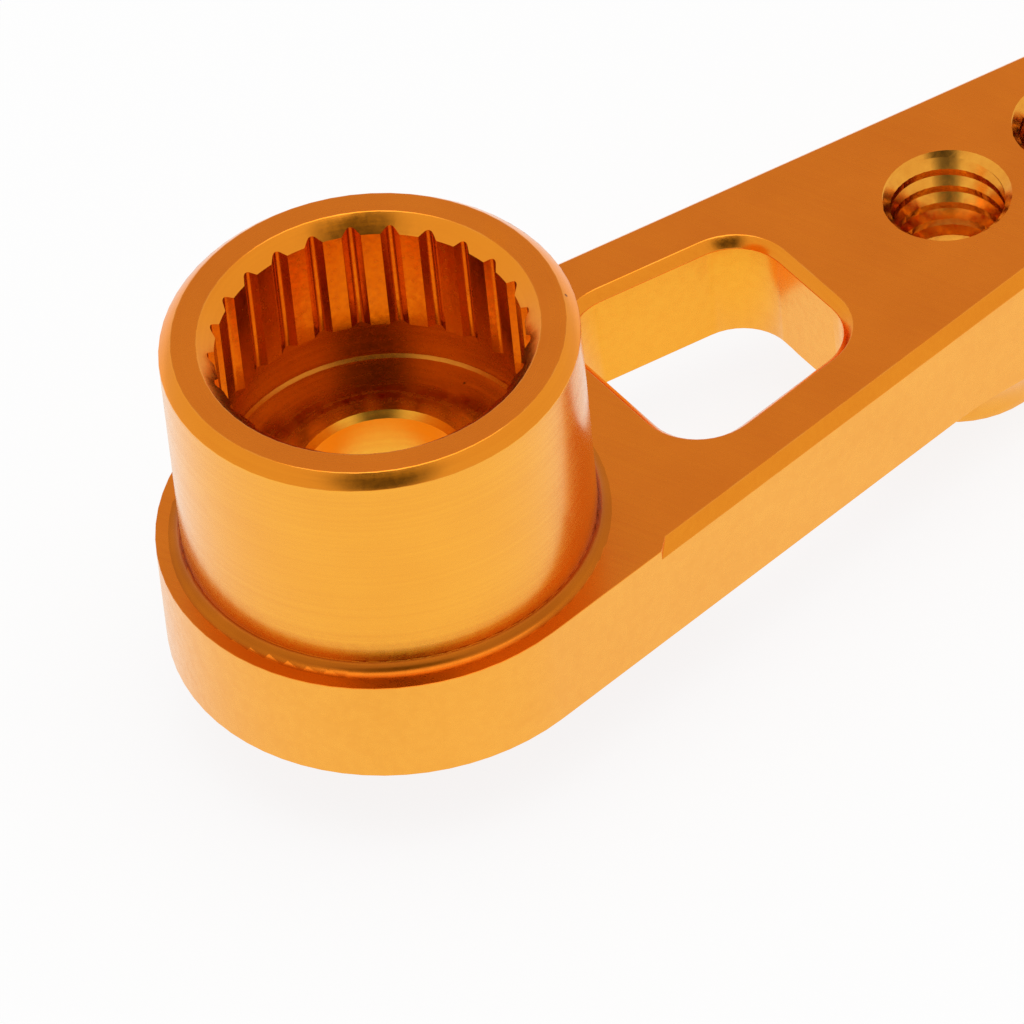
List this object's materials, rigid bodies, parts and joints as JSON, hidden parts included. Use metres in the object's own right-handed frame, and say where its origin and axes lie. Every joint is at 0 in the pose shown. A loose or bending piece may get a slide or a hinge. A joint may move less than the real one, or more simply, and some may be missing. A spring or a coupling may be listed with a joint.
{
  "type": "servo horn",
  "caption": "Metal servo horn: a splined round socket on a tapered flat arm with a lightening window and a row of tapped holes for linkages.",
  "frame": {"origin": "servo axis where it meets the underside of the arm", "axes": "+Z along the servo axis towards the splined mouth, +X along the arm towards its tip"},
  "size_m": [0.0263, 0.009, 0.0093],
  "materials": {
    "anodised_metal": "satin orange anodised"
  },
  "bodies": {
    "root": {"servo_horn": "anodised_metal"}
  },
  "joints": []
}
